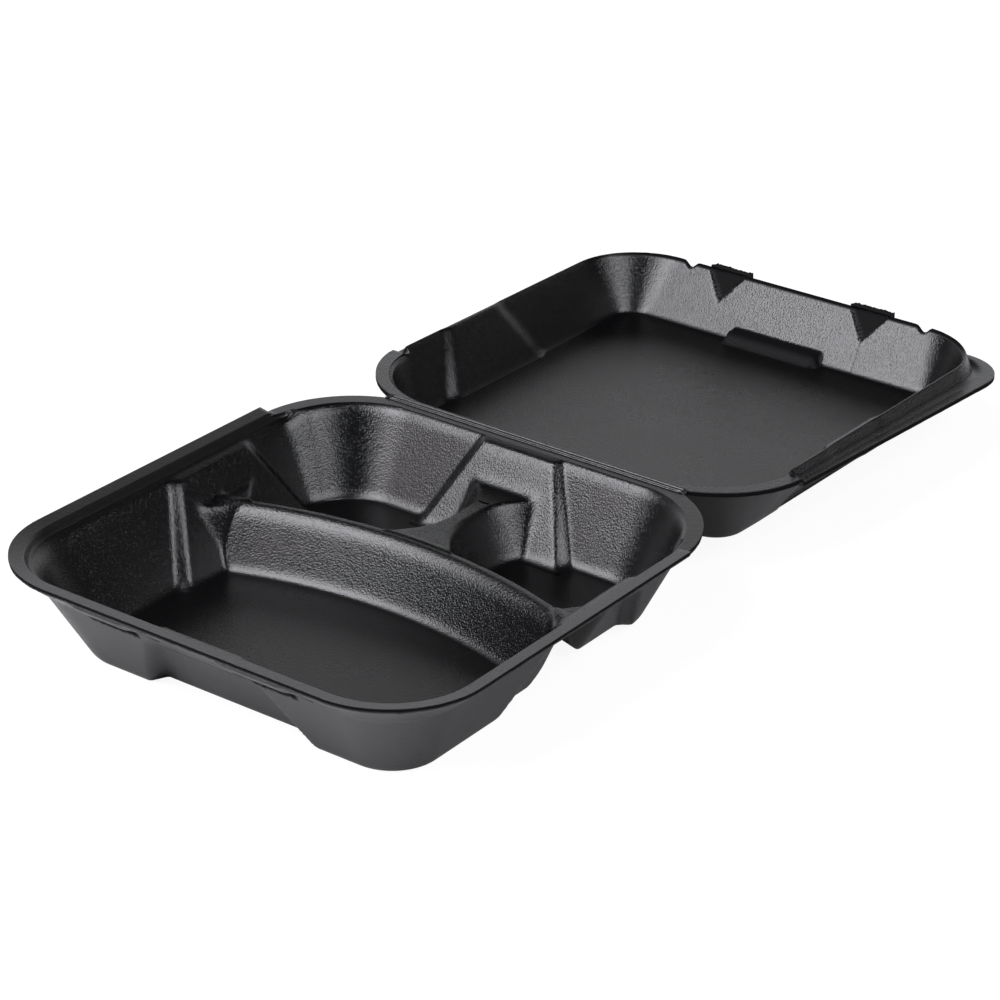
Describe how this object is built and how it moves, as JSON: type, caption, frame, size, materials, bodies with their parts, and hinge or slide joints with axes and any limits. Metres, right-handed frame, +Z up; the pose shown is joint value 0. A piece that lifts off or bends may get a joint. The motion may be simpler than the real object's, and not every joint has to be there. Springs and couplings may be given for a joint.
{
  "type": "foam clamshell container",
  "caption": "Hinged foam food container, shown open: a tray with a large and two small compartments and a shallow lid on a bend of the same sheet.",
  "frame": {"origin": "middle of the flat underside of the front compartment, on the surface the container stands on", "axes": "+Z up, +Y from the front lip back to the hinge and the open lid, +X along the hinge line"},
  "size_m": [0.2374, 0.4706, 0.048],
  "materials": {
    "tray_foam": "black polystyrene foam with a fine-grained satin skin",
    "lid_foam": "black polystyrene foam with a fine-grained satin skin"
  },
  "bodies": {
    "tray": {"base_tray": "tray_foam"},
    "lid": {"lid": "lid_foam"}
  },
  "joints": [
    {"name": "lid_hinge", "type": "hinge", "parent": "tray", "child": "lid", "pos_m": [0, 0.159, 0.04615], "axis": [1, 0, 0], "range_deg": [-4, 181]}
  ]
}
